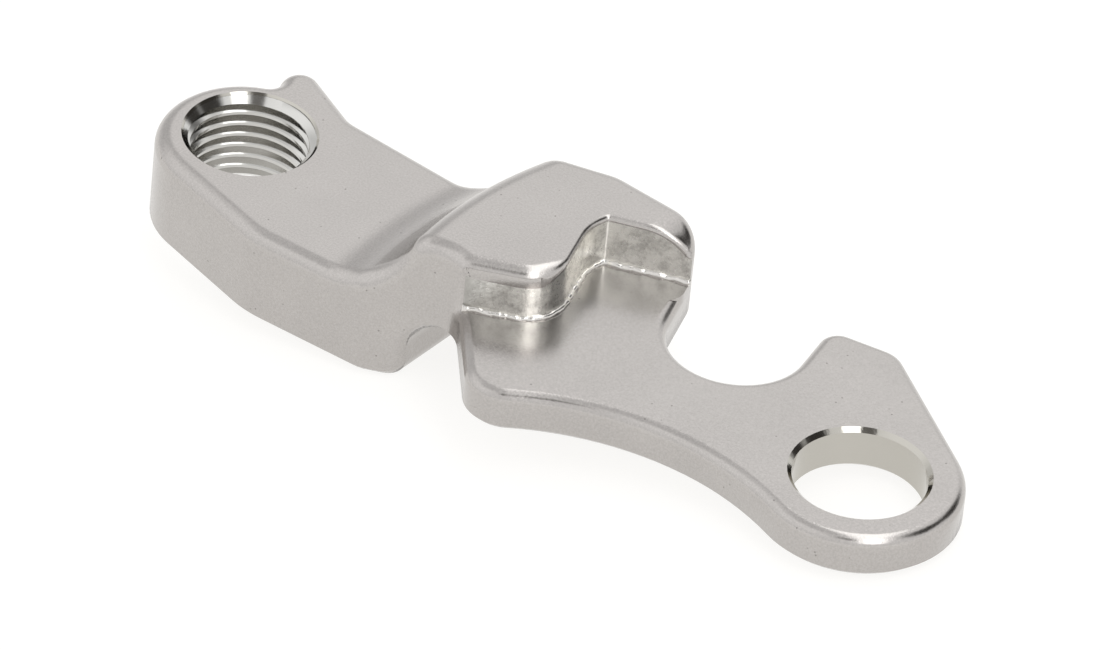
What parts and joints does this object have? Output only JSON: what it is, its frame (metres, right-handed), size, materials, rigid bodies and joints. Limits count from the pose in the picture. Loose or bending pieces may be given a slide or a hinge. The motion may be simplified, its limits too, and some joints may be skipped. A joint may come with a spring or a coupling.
{
  "type": "bicycle derailleur hanger",
  "caption": "Forged aluminium rear derailleur hanger: threaded boss, joggled neck, stepped block with a curved seat wall, thin frame plate with an axle notch and a frame bolt ring.",
  "frame": {"origin": "centre of the threaded derailleur hole on the boss's outer face", "axes": "+Z along the thread, away from the wheel; +X along the hanger, towards the frame bolt hole; +Y towards the side with the stop and the axle notch's mouth"},
  "size_m": [0.0726, 0.0249, 0.0132],
  "materials": {
    "aluminium": "bead-blasted forging with machined holes and seat wall"
  },
  "bodies": {
    "root": {"hanger": "aluminium"}
  },
  "joints": []
}
